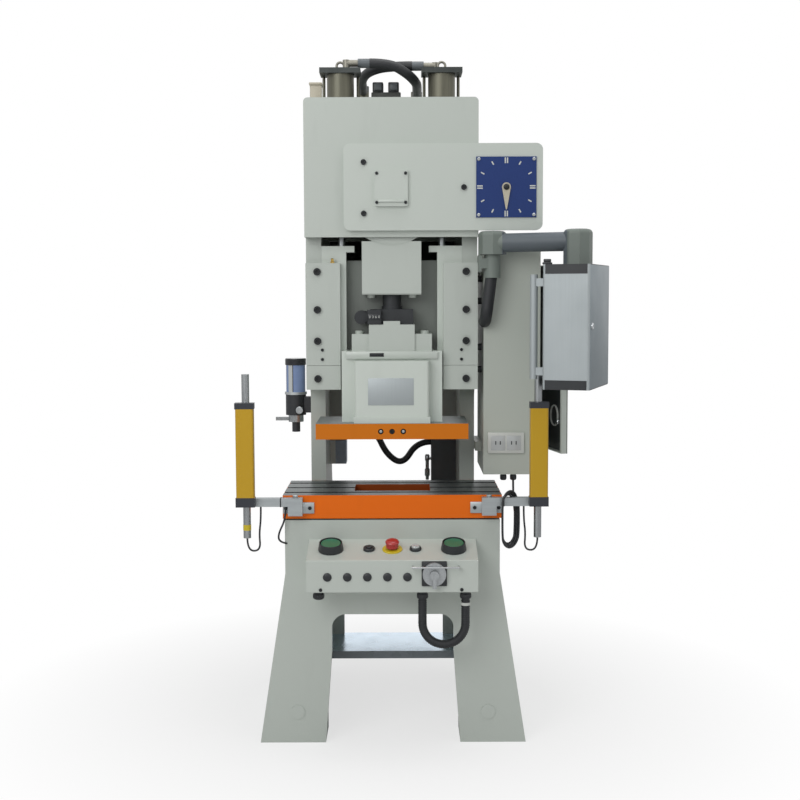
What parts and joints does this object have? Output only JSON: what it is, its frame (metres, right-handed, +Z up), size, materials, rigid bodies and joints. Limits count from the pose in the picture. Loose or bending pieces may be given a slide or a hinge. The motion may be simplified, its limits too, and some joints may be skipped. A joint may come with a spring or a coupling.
{
  "type": "mechanical stamping press",
  "caption": "Open-back C-frame stamping press with a crank-driven slide, bolster, dial, sloping two-hand console, light curtains, electric cabinet and a swing-arm control box.",
  "frame": {"origin": "on the floor, at the centre of the four anchor holes", "axes": "+X to the operator's right, +Y to the back, +Z up"},
  "size_m": [1.1877, 1.0426, 2.21],
  "materials": {
    "beige_paint": "satin",
    "black_paint": "satin",
    "black_plastic": "moulded",
    "black_rubber": "matt",
    "black_steel": "blackened",
    "blue_paint": "gloss",
    "bronze": "plain bearing bronze",
    "cast_iron": "as cast with turned faces",
    "clear_tank": "clear moulded plastic",
    "cream_paint": "satin paint",
    "dull_aluminium": "brushed",
    "green_plastic": "moulded",
    "grey_paint": "satin",
    "machined_steel": "turned and ground",
    "orange_edge_steel": "orange paint on the edges, ground top",
    "red_plastic": "moulded",
    "yellow_paint": "powder coat"
  },
  "bodies": {
    "frame": {"air_hoses": "black_rubber", "arm_bracket": "grey_paint", "balance_cylinders": "dull_aluminium", "base_front_plate": "cream_paint", "base_rear_plate": "cream_paint", "base_shelf": "cream_paint", "bed_plate": "cream_paint", "bolster": "orange_edge_steel", "cabinet": "cream_paint", "cabinet_cable": "black_rubber", "cable_glands": "black_plastic", "cable_hank": "black_rubber", "console_box": "cream_paint", "console_fittings": "black_plastic", "crown_plates": "cream_paint", "curtain_arms": "dull_aluminium", "curtain_posts": "machined_steel", "dial_cover": "cream_paint", "dial_face": "blue_paint", "drive_motor": "grey_paint", "flywheel_guard": "cream_paint", "foot_plates": "cream_paint", "frame_bolts": "black_steel", "gib_plates": "cream_paint", "head_cover": "cream_paint", "left_arm_cable": "black_rubber", "left_post_cable": "black_rubber", "leg_walls": "cream_paint", "light_curtains": "yellow_paint", "lubricator_pump": "black_paint", "lubricator_tank": "clear_tank", "main_bearings": "bronze", "right_post_cable": "black_rubber", "shaft_end_cover": "cream_paint", "side_plate_left": "cream_paint", "side_plate_right": "cream_paint", "throat_boxes": "grey_paint", "u_conduit": "black_rubber", "v_belts": "black_rubber"},
    "rod": {"connecting_rod": "cream_paint"},
    "slide": {"slide": "cream_paint", "slide_plate": "orange_edge_steel", "ball_seat_cap": "cream_paint", "balance_rods": "machined_steel", "height_adjuster": "cast_iron"},
    "screw": {"adjusting_screw": "machined_steel"},
    "crank": {"crankshaft": "machined_steel", "eccentric_bush": "bronze"},
    "pointer": {"dial_pointer": "beige_paint"},
    "flywheel": {"flywheel": "cast_iron"},
    "pulley": {"motor_pulley": "cast_iron"},
    "palm_left": {"palm_button_left": "green_plastic"},
    "palm_right": {"palm_button_right": "green_plastic"},
    "stop": {"stop_button": "red_plastic"},
    "push": {"push_button": "black_plastic"},
    "selector": {"selector_knob": "dull_aluminium"},
    "door": {"cabinet_door": "cream_paint"},
    "arm": {"pendant_arm": "grey_paint"},
    "pendant": {"pendant_box": "dull_aluminium"},
    "lever": {"lubricator_lever": "machined_steel"}
  },
  "joints": [
    {"name": "press_stroke", "type": "slide", "parent": "frame", "child": "rod", "axis": [0, 0, 1], "range_m": [0, 0.06]},
    {"name": "crank_turn", "type": "hinge", "parent": "frame", "child": "crank", "pos_m": [0, 0, 1.786], "axis": [0, 1, 0], "range_deg": [0, 180]},
    {"name": "pointer_turn", "type": "hinge", "parent": "frame", "child": "pointer", "pos_m": [0.367, -0.3, 1.788], "axis": [0, 1, 0], "range_deg": [0, 180]},
    {"name": "height_adjust", "type": "slide", "parent": "rod", "child": "slide", "axis": [0, 0, 1], "range_m": [-0.015, 0.03]},
    {"name": "screw_turn", "type": "hinge", "parent": "slide", "child": "screw", "pos_m": [0, -0.24, 1.262], "axis": [0, 0, 1], "range_deg": [-905, 1805]},
    {"name": "flywheel_spin", "type": "hinge", "parent": "frame", "child": "flywheel", "pos_m": [0, 0.365, 1.786], "axis": [0, 1, 0], "continuous": true},
    {"name": "pulley_spin", "type": "hinge", "parent": "frame", "child": "pulley", "pos_m": [0, 0.365, 1.4], "axis": [0, 1, 0], "continuous": true},
    {"name": "palm_left_press", "type": "slide", "parent": "frame", "child": "palm_left", "axis": [0, 0.2597, -0.9657], "range_m": [0, 0.006], "stiffness_N_per_m": 900, "springref_m": -0.004},
    {"name": "palm_right_press", "type": "slide", "parent": "frame", "child": "palm_right", "axis": [0, 0.2597, -0.9657], "range_m": [0, 0.006], "stiffness_N_per_m": 900, "springref_m": -0.004},
    {"name": "stop_press", "type": "slide", "parent": "frame", "child": "stop", "axis": [0, 0.2597, -0.9657], "range_m": [0, 0.005], "stiffness_N_per_m": 900, "springref_m": -0.004},
    {"name": "push_press", "type": "slide", "parent": "frame", "child": "push", "axis": [0, 0.2597, -0.9657], "range_m": [0, 0.003], "stiffness_N_per_m": 400, "springref_m": -0.004},
    {"name": "selector_turn", "type": "hinge", "parent": "frame", "child": "selector", "pos_m": [0.13, -0.551, 0.588], "axis": [0, -1, 0], "range_deg": [-45, 45]},
    {"name": "door_swing", "type": "hinge", "parent": "frame", "child": "door", "pos_m": [0.494, 0.048, 1.23], "axis": [0, 0, 1], "range_deg": [-13, 100]},
    {"name": "arm_swivel", "type": "hinge", "parent": "frame", "child": "arm", "pos_m": [0.324, -0.312, 1.6], "axis": [0, 0, 1], "range_deg": [-20, 2]},
    {"name": "pendant_swivel", "type": "hinge", "parent": "arm", "child": "pendant", "pos_m": [0.582, -0.43, 1.5], "axis": [0, 0, 1], "range_deg": [-12, 20]},
    {"name": "lever_swing", "type": "hinge", "parent": "frame", "child": "lever", "pos_m": [-0.335, -0.03, 1.02], "axis": [0, 0, 1], "range_deg": [-40, 40]}
  ],
  "couplings": [
    {"joint": "crank_turn", "follows": "press_stroke", "rad_per_m": 52.359},
    {"joint": "pointer_turn", "follows": "press_stroke", "rad_per_m": 52.359},
    {"joint": "screw_turn", "follows": "height_adjust", "rad_per_m": 1047.2},
    {"joint": "pulley_spin", "follows": "flywheel_spin", "ratio": 6.6667}
  ]
}
